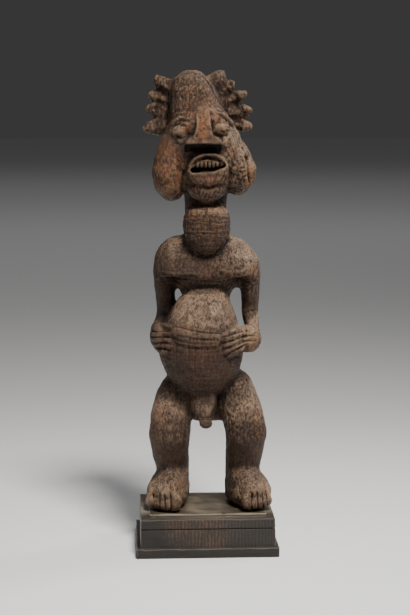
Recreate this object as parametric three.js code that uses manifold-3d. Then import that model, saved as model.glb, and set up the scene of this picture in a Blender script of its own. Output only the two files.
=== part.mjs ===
// A standing male fertility figure from the Cameroon Grassfields, carved from one log, on its plinth.
// It is swollen at the cheeks, throat and belly, with a crown of pointed tufts of hair, a bared row of
// teeth, both hands on the belly, and bent legs on heavy splayed feet. A thin steel plate carries the
// feet, and a stepped block of stained wood with a groove carries the plate.
// Millimetres. +Z is up, the figure faces -Y, and the origin is the middle of the plinth's underside.
import * as THREE from "three";
import { mergeVertices } from "three/addons/utils/BufferGeometryUtils.js";
import Module from "manifold-3d";

const wasm = await Module();
wasm.setup();

// Driving dimensions

// The plinth is a slab with a block set in from it by a ledge. The block's sides lean in by the batter.
const PLINTH = {
  width: 256,
  depth: 202,
  slab: 17.5,
  block: 52,
  ledge: 6.5,
  batter: 1,
  corner: 1.2,
  chamfer: 0.8,
};
const GROOVE = { belowTop: 16.5, height: 2.4, depth: 3 };
const PLATE = { left: -105, right: 107, front: -68, back: 88, thickness: 2.5, corner: 2, chamfer: 0.4 };
const TOUCHING = 0.3; // the gap kept between two pieces that rest on each other

const PLINTH_TOP = PLINTH.slab + PLINTH.block;
const SOLE = PLINTH_TOP + TOUCHING + PLATE.thickness + TOUCHING;

// Heights of the figure's landmarks above the floor
const LEVEL = {
  ankle: 144,
  knee: 210,
  crotch: 232,
  bellyFoot: 275,
  elbow: 424,
  chestEdge: 500,
  nape: 574,
  chin: 634,
  noseBase: 738,
  eye: 762,
  crown: 868,
};
const LEG_SLOT = { left: -28.7, right: 37.8, round: 28 }; // the flat inner faces of the two legs

// Modelling helpers

const X = new THREE.Vector3(1, 0, 0);
const Y = new THREE.Vector3(0, 1, 0);
const Z = new THREE.Vector3(0, 0, 1);

function solid(geometry) {
  const bare = geometry.index ? geometry.toNonIndexed() : geometry.clone();
  const points = new THREE.BufferGeometry().setAttribute("position", bare.getAttribute("position"));
  const merged = mergeVertices(points, 1e-4);
  return new wasm.Manifold(
    new wasm.Mesh({
      numProp: 3,
      vertProperties: new Float32Array(merged.attributes.position.array),
      triVerts: new Uint32Array(merged.index.array),
    }),
  );
}

function joined(solids) {
  return solids.reduce((whole, piece) => whole.add(piece));
}

function meshOf(name, whole, material) {
  const { vertProperties, triVerts } = whole.getMesh();
  const geometry = new THREE.BufferGeometry();
  geometry.setAttribute("position", new THREE.BufferAttribute(new Float32Array(vertProperties), 3));
  geometry.setIndex(new THREE.BufferAttribute(new Uint32Array(triVerts), 1));
  geometry.computeVertexNormals();
  const mesh = new THREE.Mesh(geometry, material);
  mesh.name = name;
  return mesh;
}

// A box from its low corner to its high corner.
function block(low, high) {
  const [size, middle] = [0, 1].map((half) =>
    high.map((value, axis) => (half ? (value + low[axis]) / 2 : value - low[axis])),
  );
  return solid(new THREE.BoxGeometry(...size).translate(...middle));
}

// A limb or swelling: a sphere whose rings are moved onto stations along a path. A station is
// [x, y, z, half-width across, half-width front to back]. start and end are the shares of the path
// over which its ends round off. Rings stay level, or stand square to the path and to across.
function carved(stations, options = {}) {
  const { sides = 16, rings = 10, square = 1, level = false, start = 0.5, end = 0.5, across = X } = options;
  const path = new THREE.CatmullRomCurve3(stations.map(([x, y, z]) => new THREE.Vector3(x, y, z)));
  const widths = new THREE.CatmullRomCurve3(stations.map(([, , , w, d]) => new THREE.Vector3(w, d, 0)));
  const down = stations.at(-1)[2] < stations[0][2] ? -1 : 1;
  const form = new THREE.SphereGeometry(1, sides, rings);
  const points = form.getAttribute("position");
  const point = new THREE.Vector3();
  for (let i = 0; i < points.count; i += 1) {
    point.fromBufferAttribute(points, i);
    const along = THREE.MathUtils.clamp((1 - point.y) / 2, 0, 1);
    const round = Math.min(roundedOff(along, start), roundedOff(1 - along, end));
    const tangent = level ? Z.clone().multiplyScalar(down) : path.getTangent(along);
    const side = across.clone().addScaledVector(tangent, -across.dot(tangent)).normalize();
    const front = tangent.clone().cross(side);
    const ring = Math.hypot(point.x, point.z) || 1;
    const [c, s] = [point.x, point.z].map((v) => Math.sign(v) * Math.abs(v / ring) ** (1 / square));
    const width = widths.getPoint(along).multiplyScalar(ring > 1e-6 && along > 0 && along < 1 ? round : 0);
    point.copy(path.getPoint(along));
    point.addScaledVector(side, c * width.x).addScaledVector(front, s * width.y);
    points.setXYZ(i, point.x, point.y, point.z);
  }
  return solid(form);
}

function roundedOff(distance, span) {
  return distance >= span ? 1 : Math.sqrt(1 - (1 - distance / span) ** 2);
}

// An egg about a centre, with a half-size along each axis, turned about Y by roll degrees.
function egg([x, y, z], [a, b, c], sides = 14, rings = 8, roll = 0) {
  const form = new THREE.SphereGeometry(1, sides, rings).rotateX(Math.PI / 2).scale(a, b, c);
  return solid(form.rotateY(THREE.MathUtils.degToRad(roll)).translate(x, y, z));
}

// The plinth and its plate

function taperedBlock(width, depth, low, high, batter) {
  const form = new THREE.BoxGeometry(width, depth, high - low).translate(0, 0, (high + low) / 2);
  const points = form.getAttribute("position");
  for (let i = 0; i < points.count; i += 1) {
    if (points.getZ(i) < high - 0.01) continue;
    points.setX(i, points.getX(i) - Math.sign(points.getX(i)) * batter);
    points.setY(i, points.getY(i) - Math.sign(points.getY(i)) * batter);
  }
  return solid(form);
}

// A level slab with softened top and bottom edges.
function slab(width, depth, low, high, corner, chamfer) {
  const [w, d] = [width / 2 - chamfer, depth / 2 - chamfer];
  const outline = new THREE.Shape();
  outline.moveTo(-w + corner, -d).lineTo(w - corner, -d).quadraticCurveTo(w, -d, w, -d + corner);
  outline.lineTo(w, d - corner).quadraticCurveTo(w, d, w - corner, d).lineTo(-w + corner, d);
  outline.quadraticCurveTo(-w, d, -w, d - corner).lineTo(-w, -d + corner);
  outline.quadraticCurveTo(-w, -d, -w + corner, -d);
  const form = new THREE.ExtrudeGeometry(outline, {
    depth: high - low - 2 * chamfer,
    bevelThickness: chamfer,
    bevelSize: chamfer,
    bevelSegments: 1,
    curveSegments: 2,
  });
  return solid(form.translate(0, 0, low + chamfer));
}

function plinth() {
  const { width, depth, slab: slabHeight, ledge, batter, corner, chamfer } = PLINTH;
  const [x, y] = [width / 2 - ledge, depth / 2 - ledge];
  const foot = slab(width, depth, 0, slabHeight, corner, chamfer);
  const body = taperedBlock(2 * x, 2 * y, slabHeight / 2, PLINTH_TOP, batter);
  const high = PLINTH_TOP - GROOVE.belowTop;
  const low = high - GROOVE.height;
  const [coreX, coreY] = [x - GROOVE.depth, y - GROOVE.depth];
  const core = block([-coreX, -coreY, low - 1], [coreX, coreY, high + 1]);
  const ring = block([-width, -depth, low], [width, depth, high]).subtract(core);
  return foot.add(body).subtract(ring);
}

function plate() {
  const { left, right, front, back, thickness, corner, chamfer } = PLATE;
  const low = PLINTH_TOP + TOUCHING;
  const sheet = slab(right - left, back - front, low, low + thickness, corner, chamfer);
  return sheet.translate([(left + right) / 2, (front + back) / 2, 0]);
}

// Trunk: the back and hips, the swollen belly and the yoke of the shoulders

// Half-widths of the belly, and its middle, by height. The hands are laid on the same profile.
const BELLY = [
  [1, -22, 487, 18, 15],
  [-1, -26, 478, 33, 27],
  [-3, -27, 465, 43, 39],
  [-6, -26, 450, 52, 51],
  [-9, -23, 427, 63, 63],
  [-10, -19, 400, 74, 74],
  [-10, -17, 372, 79, 79],
  [-8, -16, 344, 75, 77],
  [-6, -17, 312, 66, 71],
  [-6, -20, LEVEL.bellyFoot, 50, 58],
];

const BREAST = { at: [1, -12, 488], size: [58, 34, 25] };
const BUTTOCKS = { at: [[-33, 42, 284], [39, 42, 284]], size: [38, 36, 42] };
const ARMPITS = { at: [[-54, 4, 498], [57, 4, 498]], size: [17, 26, 23] };

function trunk() {
  const column = carved(
    [
      [2, 14, 548, 62, 38],
      [2, 15, 508, 70, 38],
      [2, 17, 483, 58, 37],
      [2, 20, 456, 43, 36],
      [2, 22, 410, 48, 39],
      [3, 21, 350, 58, 45],
      [4, 22, 305, 63, 49],
      [4, 20, LEVEL.crotch + 6, 60, 42],
    ],
    { sides: 12, rings: 9, level: true, start: 0.05, end: 0.12 },
  );
  const belly = carved(BELLY, { sides: 16, rings: 12, level: true, start: 0.08, end: 0.2 });
  const yoke = carved(
    [
      [-3, 3, LEVEL.nape + 2, 52, 36],
      [-3, 3, 562, 72, 42],
      [-1, 0, 545, 89, 49],
      [1, -3, 526, 95, 55],
      [2, -5, 512, 97, 58],
      [2, -5, LEVEL.chestEdge, 94, 57],
    ],
    { sides: 16, rings: 8, level: true, square: 1.14, start: 0.16, end: 0.04 },
  );
  const buttocks = BUTTOCKS.at.map((middle) => egg(middle, BUTTOCKS.size, 10, 6));
  const armpits = ARMPITS.at.map((middle) => egg(middle, ARMPITS.size, 8, 6));
  return [column, belly, yoke, egg(BREAST.at, BREAST.size, 12, 6), ...buttocks, ...armpits];
}

// A point on the belly's skin: degrees round from the front towards +X, at a height, stood off by out.
function onBelly(degrees, height, out) {
  const below = BELLY.findIndex((station) => station[2] <= height);
  const [high, low] = [BELLY[below - 1], BELLY[below]];
  const share = (high[2] - height) / (high[2] - low[2]);
  const [x, y, , w, d] = high.map((value, i) => value + (low[i] - value) * share);
  const angle = THREE.MathUtils.degToRad(degrees);
  return [x + (w + out) * Math.sin(angle), y - (d + out) * Math.cos(angle), height];
}

// Arms: each hangs straight to the elbow, then the forearm turns in and the hand lies on the belly

// Places of palm, knuckles and fingertips in degrees round the belly; the lists run from the top
// finger to the bottom one. lift is how far the middle of the palm stands off the belly, and palmHalf
// is half its height, both from wrist to knuckles.
const HANDS = [
  {
    palm: [-112, -92, -70],
    lift: [6, 4, 0],
    palmHeight: 392,
    palmHalf: [21, 28, 26],
    knuckle: -78,
    tips: [-46, -43, -42, -43, -48],
    from: [413, 402, 391, 380, 370],
    to: [414, 402, 390, 379, 369],
  },
  {
    palm: [102, 80, 56],
    lift: [18, 21, 8],
    palmHeight: 393,
    palmHalf: [19, 24, 24],
    knuckle: 62,
    tips: [30, 26, 24, 27, 33],
    from: [413, 405, 396, 387, 378],
    to: [401, 390, 379, 369, 361],
  },
];
const FINGER = { radius: 6.4, proud: 1.5, taper: 0.8 };

function hand({ palm, lift, palmHeight, palmHalf, knuckle, tips, from, to }) {
  const back = carved(
    [
      [...onBelly(palm[0], palmHeight + 10, lift[0]), 13, palmHalf[0]],
      [...onBelly(palm[1], palmHeight, lift[1]), 12, palmHalf[1]],
      [...onBelly(palm[2], palmHeight - 2, lift[2]), 8, palmHalf[2]],
    ],
    { sides: 10, rings: 6, start: 0.3, end: 0.14, across: outwardAt(palm[1]) },
  );
  const fingers = from.map((height, i) => {
    const middle = (knuckle + tips[i]) / 2;
    return carved(
      [
        [...onBelly(knuckle, height, FINGER.proud + lift[2]), FINGER.radius, FINGER.radius],
        [...onBelly(middle, (height + to[i]) / 2, FINGER.proud), FINGER.radius, FINGER.radius],
        [...onBelly(tips[i], to[i], 0), FINGER.radius * FINGER.taper, FINGER.radius * FINGER.taper],
      ],
      { sides: 6, rings: 4, start: 0.2, end: 0.2, across: outwardAt(middle) },
    );
  });
  return [back, ...fingers];
}

function outwardAt(degrees) {
  const angle = THREE.MathUtils.degToRad(degrees);
  return new THREE.Vector3(Math.sin(angle), -Math.cos(angle), 0);
}

// The raised band that runs over the belly from one hand to the other.
const BAND = { from: -52, to: 34, left: 408, right: 395, sag: 5, height: 9, thickness: 5, stations: 7 };

function band() {
  const { from, to, left, right, sag, height, thickness } = BAND;
  const stations = Array.from({ length: BAND.stations }, (_, i) => {
    const share = i / (BAND.stations - 1);
    const middle = left + (right - left) * share - sag * Math.sin(Math.PI * share);
    return [...onBelly(from + (to - from) * share, middle, 0), height, thickness];
  });
  return carved(stations, { sides: 8, rings: 8, start: 0.1, end: 0.1, across: Z });
}

const ARMS = [
  [
    [-72, 0, 542, 16, 26],
    [-76, -2, 515, 19, 33],
    [-75, 4, 485, 19, 29],
    [-72, 10, 455, 18.5, 23],
    [-71, 12, LEVEL.elbow + 4, 17.5, 21],
    [-79, 4, LEVEL.elbow - 18, 17, 19],
    [-88, -14, 398, 13, 20],
  ],
  [
    [75, 0, 542, 16, 26],
    [80, -2, 515, 19, 33],
    [81, 4, 485, 18, 29],
    [82, 10, 455, 16.5, 23],
    [82, 12, LEVEL.elbow + 4, 15.5, 21],
    [85, 4, LEVEL.elbow - 14, 14, 20],
    [86, -14, 402, 13, 20],
  ],
];

function arms() {
  const limbs = ARMS.map((stations) => carved(stations, { sides: 10, rings: 10, start: 0.1, end: 0.1 }));
  return [...limbs, ...HANDS.flatMap(hand), band()];
}

// Legs: heavy and bent forward at the knee, with short splayed feet

// Each leg's middle by height: [x, y, z, half-width, half-depth]. Each foot's from heel to ball.
const LEGS = [
  {
    limb: [
      [-42, 20, 316, 26, 38],
      [-50, 8, 291, 33, 45],
      [-58, -4, 266, 37, 46],
      [-64, -14, 240, 38, 42],
      [-67, -19, LEVEL.knee, 38.5, 38],
      [-65, -6, 178, 35, 34],
      [-60, 12, LEVEL.ankle, 30, 31],
      [-59, 28, 110, 30, 32],
      [-58, 34, SOLE - 2, 29, 32],
    ],
    foot: [
      [-52, 76, SOLE + 20, 21, 22],
      [-57, 46, SOLE + 28, 29, 32],
      [-63, 14, SOLE + 34, 35, 38],
      [-72, -14, SOLE + 28, 38, 30],
      [-77, -42, SOLE + 21, 36, 18],
    ],
    toes: { big: [-52, -63], little: [-106, -33], back: [-70, 10] },
  },
  {
    limb: [
      [44, 20, 326, 26, 38],
      [52, 8, 297, 33, 45],
      [60, -4, 269, 37, 46],
      [68, -14, 240, 38, 42],
      [73, -19, LEVEL.knee, 39, 38],
      [71, -6, 178, 36, 34],
      [69, 12, LEVEL.ankle, 32, 31],
      [68, 28, 110, 31, 32],
      [67, 34, SOLE - 2, 30, 32],
    ],
    foot: [
      [61, 78, SOLE + 20, 21, 22],
      [66, 46, SOLE + 28, 29, 32],
      [73, 12, SOLE + 34, 35, 38],
      [84, -18, SOLE + 28, 37, 30],
      [91, -44, SOLE + 21, 34, 18],
    ],
    toes: { big: [71, -64], little: [117, -43], back: [80, 8] },
  },
];
const GROIN = { at: [4, 10, 262], size: [50, 40, 38] };
// Toes, big one first: each one's share of the way to the little toe, its half-width and half-height
const TOES = [
  [0, 11, 14],
  [0.32, 6.6, 12.5],
  [0.54, 6.4, 12],
  [0.77, 6.4, 12],
  [1, 7, 13],
];
const TOE = { bow: 8, length: 30, rise: 2.5, climb: 5 };

function leg({ limb, foot, toes }) {
  return [
    carved(limb, { sides: 12, rings: 10, square: 1.1, start: 0.12, end: 0.02 }),
    carved(foot, { sides: 10, rings: 7, square: 1.3, start: 0.16, end: 0.1 }),
    ...TOES.map((size) => toe(size, toes)),
  ];
}

// A toe runs back into the foot from its tip, which lies on a bow from the big toe to the little one.
function toe([share, halfWidth, halfHeight], { big, little, back }) {
  const tip = new THREE.Vector2(...big).lerp(new THREE.Vector2(...little), share);
  tip.y -= TOE.bow * Math.sin(Math.PI * share);
  const inward = new THREE.Vector2(...back).sub(tip).normalize();
  const middle = SOLE + TOE.rise + halfHeight;
  const stations = [0, 0.5, 1].map((along) => {
    const [x, y] = tip.clone().addScaledVector(inward, TOE.length * along).toArray();
    return [x, y, middle + TOE.climb * along, halfWidth, halfHeight];
  });
  return carved(stations, { sides: 6, rings: 4, start: 0.25, end: 0.2 });
}

function legs() {
  const sex = carved(
    [
      [-3, -24, 286, 28, 28],
      [-3, -42, 264, 22.5, 22],
      [-2, -52, 248, 16, 15],
      [-2, -58, 241, 11, 11],
    ],
    { sides: 9, rings: 7, start: 0.2, end: 0.16 },
  );
  const flesh = joined(LEGS.flatMap(leg)).add(egg(GROIN.at, GROIN.size, 12, 7));
  const { left, right, round } = LEG_SLOT;
  const { crotch } = LEVEL;
  const arch = new THREE.Shape();
  arch.moveTo(left, 0).lineTo(right, 0).lineTo(right, crotch - round);
  arch.quadraticCurveTo(right, crotch, right - round, crotch);
  arch.lineTo(left + round, crotch).quadraticCurveTo(left, crotch, left, crotch - round);
  const slot = new THREE.ExtrudeGeometry(arch, { depth: 300, bevelEnabled: false, curveSegments: 3 });
  const cut = solid(slot.rotateX(Math.PI / 2).translate(0, 150, 0));
  return [flesh.subtract(cut), sex];
}

// Throat: the neck and the swelling that hangs from it in front of the chest

function throat() {
  const neck = carved(
    [
      [0, 4, 660, 40, 38],
      [0, 3, 620, 38, 38],
      [0, 4, 580, 38, 36],
      [0, 6, 545, 46, 38],
    ],
    { sides: 12, rings: 5, level: true, start: 0.05, end: 0.05 },
  );
  const goitre = carved(
    [
      [1, -20, 626, 37, 40],
      [1, -27, 606, 42, 47],
      [0.5, -28, 582, 42.5, 47],
      [0, -27, 560, 38, 44],
      [-0.5, -28, 536, 24, 31],
    ],
    { sides: 12, rings: 8, level: true, square: 1.08, start: 0.12, end: 0.3 },
  );
  return [neck, goitre];
}

// Head: a peaked skull that leans to -X, two hanging cheeks and a jutting muzzle

const SKULL = [
  [-25, 2, LEVEL.crown, 26, 26],
  [-25, -2, 850, 36, 38],
  [-21, -5, 824, 44, 47],
  [-15, -6, 796, 51, 54],
  [-10, -6, 768, 58, 58],
  [-5, -5, 738, 62, 59],
  [-2, -2, 700, 60, 56],
  [0, 3, 660, 46, 46],
  [0, 4, 628, 38, 38],
];
const CHEEKS = [
  [
    [-34, -18, 792, 26, 32],
    [-42, -22, 762, 31, 36],
    [-50, -25, 732, 36, 39],
    [-60, -25, 700, 36, 43],
    [-63, -25, 666, 34, 43],
    [-62, -22, LEVEL.chin, 30, 36],
  ],
  [
    [14, -18, 788, 26, 32],
    [21, -22, 764, 30, 36],
    [33, -24, 738, 34, 39],
    [51, -22, 706, 37, 43],
    [58, -20, 676, 33, 43],
    [55, -17, LEVEL.chin + 9, 28, 34],
  ],
];
const MUZZLE = [
  [-8, -32, 752, 32, 34],
  [-4, -36, 728, 38, 43],
  [0, -38, 704, 41, 46],
  [1, -38, 680, 40, 46],
  [1, -35, 658, 39, 42],
  [2, -28, LEVEL.chin, 27, 29],
];

// What fills the folds between the muzzle and the cheeks, and the middle of the face behind the nose
const FOLDS = { at: [[-36, -42, 704], [36, -42, 706]], size: [20, 24, 48] };
const MIDFACE = { at: [-8, -30, 738], size: [50, 38, 42] };
const BROWS = [
  [
    [-10, -55, 790, 8, 9],
    [-44, -52, 781, 8, 9],
    [-68, -32, 764, 6, 8],
  ],
  [
    [-8, -55, 792, 8, 9],
    [24, -54, 785, 9, 9],
    [46, -36, 766, 7, 8],
  ],
];

function head() {
  const skull = carved(SKULL, { sides: 14, rings: 10, level: true, start: 0.16, end: 0.05 });
  const cheeks = CHEEKS.map((stations) =>
    carved(stations, { sides: 12, rings: 8, level: true, start: 0.1, end: 0.28 }),
  );
  const muzzle = carved(MUZZLE, { sides: 12, rings: 8, level: true, square: 1.15, start: 0.12, end: 0.24 });
  const folds = FOLDS.at.map((middle) => egg(middle, FOLDS.size, 8, 6));
  const midface = egg(MIDFACE.at, MIDFACE.size, 10, 6);
  const brows = BROWS.map((stations) =>
    carved(stations, { sides: 6, rings: 6, start: 0.1, end: 0.2, across: Z }),
  );
  return joined([skull, ...cheeks, ...folds, midface, ...brows, muzzle]);
}

// Face: bulging eyes in sunk sockets, a nose cut off flat below, and an open mouth with pointed teeth

const SOCKET = { depth: 12, forward: 6, wider: 6 };
const RIM = { wider: 2, forward: 2, round: 0.17 };
const LIPS = { at: -74, size: [37, 17, 31] };
const EYES = [
  { at: [-46, -56, LEVEL.eye - 4], size: [13, 11, 10] },
  { at: [23, -57, LEVEL.eye], size: [16, 11, 12] },
];
const NOSE = { ridge: -8, wing: 33, back: -40 };
const MOUTH = { middle: [1, 693], corner: 34, tilt: -9, arch: 25, sag: 4, front: -110, back: -64 };
const TEETH = { count: 8, width: 7.2, point: 1.4, spread: 48, tip: 6, depth: -79 };

// The nose is a side profile and a front outline, pushed through each other.
function nose() {
  const { ridge, wing, back } = NOSE;
  const base = LEVEL.noseBase;
  const front = new THREE.Shape();
  front.moveTo(ridge - 8, base + 76).quadraticCurveTo(ridge - 10, base + 30, ridge - 17, base + 14);
  front.quadraticCurveTo(ridge - wing, base + 9, ridge - wing, base - 3).lineTo(ridge - wing, base - 30);
  front.lineTo(ridge + wing, base - 30).lineTo(ridge + wing, base - 3);
  front.quadraticCurveTo(ridge + wing, base + 9, ridge + 17, base + 14);
  front.quadraticCurveTo(ridge + 10, base + 30, ridge + 8, base + 76);
  const side = new THREE.Shape();
  side.moveTo(back, base + 76).lineTo(-58, base + 66).quadraticCurveTo(-70, base + 48, -94, base + 8);
  side.quadraticCurveTo(-99, base + 1, -95, base - 2).lineTo(-72, base - 17).lineTo(back, base - 17);
  const options = { bevelEnabled: false, curveSegments: 3 };
  const outline = new THREE.ExtrudeGeometry(front, { depth: 100, ...options }).rotateX(Math.PI / 2);
  const profile = new THREE.ExtrudeGeometry(side, { depth: 100, ...options });
  profile.applyMatrix4(new THREE.Matrix4().set(0, 0, 1, -50, 1, 0, 0, 0, 0, 1, 0, 0, 0, 0, 0, 1));
  return solid(outline).intersect(solid(profile.translate(ridge, 0, 0)));
}

// Turns a shape drawn in the mouth's own plane to stand across the face, tilted with the lips.
function inMouth(geometry) {
  const [x, z] = MOUTH.middle;
  geometry.rotateX(Math.PI / 2);
  geometry.rotateY(THREE.MathUtils.degToRad(MOUTH.tilt));
  return solid(geometry.translate(x, 0, z));
}

function mouthOpening() {
  const { corner, arch, sag, front, back } = MOUTH;
  const outline = new THREE.Shape();
  const [pullX, pullZ] = [corner * 0.55, arch * 1.33];
  outline.moveTo(-corner, 0).bezierCurveTo(-pullX, pullZ, pullX, pullZ, corner, 0);
  outline.quadraticCurveTo(0, -sag * 2, -corner, 0);
  const options = { depth: back - front, bevelEnabled: false, curveSegments: 6 };
  return inMouth(new THREE.ExtrudeGeometry(outline, options).translate(0, 0, -back));
}

function teeth() {
  const { count, width, point, spread, tip, depth } = TEETH;
  return Array.from({ length: count }, (_, i) => {
    const share = (2 * i) / (count - 1) - 1;
    const root = MOUTH.arch * (1.08 - 0.5 * share * share);
    const cone = new THREE.CylinderGeometry(width / 2, point, root - tip, 4);
    return inMouth(cone.translate((share * spread) / 2, (root + tip) / 2, -depth));
  });
}

function face(bareHead) {
  const [x, z] = MOUTH.middle;
  const lips = egg([x, LIPS.at, z], LIPS.size, 14, 8, MOUTH.tilt);
  const sockets = EYES.map(({ at: [eyeX, eyeY, eyeZ], size: [a, , c] }) =>
    egg([eyeX, eyeY - SOCKET.forward, eyeZ], [a + SOCKET.wider, SOCKET.depth, c + SOCKET.wider], 12, 6),
  );
  const eyes = EYES.flatMap(({ at: [eyeX, eyeY, eyeZ], size: [a, b, c] }) => {
    const rim = new THREE.TorusGeometry(1, RIM.round, 4, 9).scale(a + RIM.wider, c + RIM.wider, b);
    rim.rotateX(Math.PI / 2).translate(eyeX, eyeY - RIM.forward, eyeZ);
    return [egg([eyeX, eyeY, eyeZ], [a, b, c], 9, 6), solid(rim)];
  });
  const cutHead = sockets.reduce((whole, socket) => whole.subtract(socket), bareHead);
  return [cutHead.add(nose()).add(lips).subtract(mouthOpening()), ...eyes, ...teeth()];
}

// Hair: thick pointed tufts round the head from ear to ear, over a cap of hair, and more behind

// Each side tuft: [root x, root z, tip x, tip z, half-width at the root]
const SIDE = { rootY: 20, tipY: 8 };
const SIDE_TUFTS = [
  [-44, 816, -90, 853, 23],
  [-50, 806, -103, 826, 18],
  [-52, 794, -107, 799, 20],
  [-52, 770, -113, 764, 21],
  [0, 824, 34, 865, 23],
  [14, 816, 52, 846, 18],
  [22, 806, 74, 826, 16],
  [30, 788, 84, 796, 19],
  [34, 774, 84, 768, 16],
];
// Two rows of tufts stand out of the back of the head: each row's rise in degrees and its number of tufts
const BACK_TUFTS = {
  rows: [8, 50],
  perRow: [5, 4],
  spread: 116,
  middle: [-12, 14, 796],
  skin: [40, 28, 38],
  length: 40,
  root: 16,
};
const CAP = { at: [-12, 20, 802], size: [58, 40, 50] };

function tuft(root, tip, halfWidth) {
  const bend = root.clone().lerp(tip, 0.5);
  const taper = [1, 0.88, 0.48];
  const stations = [root, bend, tip].map((point, i) => {
    const half = halfWidth * taper[i];
    return [...point.toArray(), half, half];
  });
  return carved(stations, { sides: 6, rings: 5, start: 0.16, end: 0.22, across: Y });
}

function hair() {
  const cap = egg(CAP.at, CAP.size, 9, 5);
  const sides = SIDE_TUFTS.map(([rootX, rootZ, tipX, tipZ, halfWidth]) =>
    tuft(new THREE.Vector3(rootX, SIDE.rootY, rootZ), new THREE.Vector3(tipX, SIDE.tipY, tipZ), halfWidth),
  );
  const { rows, perRow, spread, middle, length, root } = BACK_TUFTS;
  const reach = new THREE.Vector3(...BACK_TUFTS.skin);
  const back = rows.flatMap((rise, row) =>
    Array.from({ length: perRow[row] }, (_, i) => {
      const round = THREE.MathUtils.degToRad((i / (perRow[row] - 1) - 0.5) * spread);
      const up = THREE.MathUtils.degToRad(rise);
      const level = Math.cos(up);
      const out = new THREE.Vector3(Math.sin(round) * level, Math.cos(round) * level, Math.sin(up));
      const skin = new THREE.Vector3(...middle).add(out.clone().multiply(reach));
      return tuft(skin, skin.clone().addScaledVector(out, length), root);
    }),
  );
  return [cap, ...sides, ...back];
}

// The soles are cut off level where the feet meet the plate.
function figure() {
  const parts = [...trunk(), ...arms(), ...legs(), ...throat(), ...face(head()), ...hair()];
  const under = block([-PLINTH.width, -PLINTH.width, 0], [PLINTH.width, PLINTH.width, SOLE]);
  return joined(parts).subtract(under);
}

const agedWood = new THREE.MeshStandardMaterial({ color: 0x6b4a33, roughness: 0.62, metalness: 0 });
const blackenedSteel = new THREE.MeshStandardMaterial({ color: 0x4a443c, roughness: 0.38, metalness: 0.7 });
const stainedWood = new THREE.MeshStandardMaterial({ color: 0x3a322c, roughness: 0.5, metalness: 0 });

const statue = new THREE.Group();
statue.add(meshOf("figure", figure(), agedWood));
statue.add(meshOf("mounting_plate", plate(), blackenedSteel));
statue.add(meshOf("plinth", plinth(), stainedWood));

export default statue;
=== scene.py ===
import math
import random

import bmesh
import bpy
import numpy as np
from mathutils import Matrix, Vector, noise
from mathutils.bvhtree import BVHTree


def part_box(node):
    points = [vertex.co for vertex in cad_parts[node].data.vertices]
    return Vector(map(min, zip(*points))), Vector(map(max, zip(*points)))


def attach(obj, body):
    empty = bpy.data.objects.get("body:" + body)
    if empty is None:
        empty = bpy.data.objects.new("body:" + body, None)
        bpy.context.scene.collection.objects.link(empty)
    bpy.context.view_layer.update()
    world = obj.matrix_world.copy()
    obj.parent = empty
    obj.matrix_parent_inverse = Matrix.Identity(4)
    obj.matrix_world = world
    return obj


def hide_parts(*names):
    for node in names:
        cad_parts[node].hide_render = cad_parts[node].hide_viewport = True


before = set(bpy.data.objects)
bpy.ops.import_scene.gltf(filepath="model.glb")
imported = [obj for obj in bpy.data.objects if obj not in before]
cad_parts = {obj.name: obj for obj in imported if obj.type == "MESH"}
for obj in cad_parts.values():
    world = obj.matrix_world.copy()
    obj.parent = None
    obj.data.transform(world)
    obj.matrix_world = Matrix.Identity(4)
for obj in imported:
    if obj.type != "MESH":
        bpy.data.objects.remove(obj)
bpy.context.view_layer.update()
MM = 0.001

# Plinth. One block of hardwood, stained nearly black and rubbed back: a foot slab, a block set in
# from it by a narrow ledge, and a fine groove cut all round with a saw. Its front top edge is worn
# into waves, and brown wood shows through the stain on the front.

PLINTH_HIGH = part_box("plinth")[1]
SLAB_TOP = 17.5 * MM
LEDGE = 6.5 * MM
BATTER = 1.0 * MM
BLOCK_TOP = PLINTH_HIGH.z
BLOCK_HALF = (PLINTH_HIGH.x - LEDGE, PLINTH_HIGH.y - LEDGE)
GROOVE_TOP = BLOCK_TOP - 16.5 * MM
GROOVE_HEIGHT = 2.4 * MM
GROOVE_DEPTH = 3.0 * MM
BLOCK_SUNK = 1.0 * MM
BLOCK_EDGE = 0.7 * MM
SLAB_EDGE = 0.9 * MM
GRID = 7.0 * MM
EDGE_ROW = 1.8 * MM
BLOCK_ROW = 2.2 * MM
GROOVE_ROW = 1.6 * MM
WORN_WIDTH = 6.0 * MM
WORN_HEIGHT = 3.0 * MM
WORN_DEPTH = 1.8 * MM
SIDE_WEAR = 0.35
# share of the rubbed edge colour and painted highlight kept inside the groove
GROOVE_WEAR_AND_HIGHLIGHT = 0.15
STAIN_BLACK = (0.0048, 0.0042, 0.0036)
STAIN_BROWN = (0.0115, 0.0098, 0.0082)
STAIN_FIBRE = (0.021, 0.0175, 0.0142)
STAIN_RIPPLE = (0.05, 0.039, 0.03)
BARE_DARK = (0.06, 0.032, 0.018)
BARE_LIGHT = (0.135, 0.073, 0.041)
# rubbed edge colour, partly a painted highlight where the edges catch the light
WORN_EDGE_AND_HIGHLIGHT = (0.14, 0.121, 0.101)
DUST = (0.23, 0.187, 0.147)


def box_mesh(low, high):
    """A bmesh with one box from its low corner to its high corner."""
    bm = bmesh.new()
    size = [b - a for a, b in zip(low, high)]
    middle = [(a + b) / 2 for a, b in zip(low, high)]
    bmesh.ops.create_cube(bm, size=1)
    bmesh.ops.scale(bm, vec=size, verts=bm.verts)
    bmesh.ops.translate(bm, vec=middle, verts=bm.verts)
    return bm


def soften(bm, edges, width, segments=2):
    """Rounds edges off."""
    bmesh.ops.bevel(
        bm,
        geom=edges,
        offset=width,
        offset_type="OFFSET",
        affect="EDGES",
        segments=segments,
        profile=0.5,
        material=-1,
    )


def sharp_edges(bm, degrees=40):
    """The edges where the mesh turns by more than an angle."""
    limit = math.radians(degrees)
    return [e for e in bm.edges if len(e.link_faces) == 2 and e.calc_face_angle() > limit]


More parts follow.
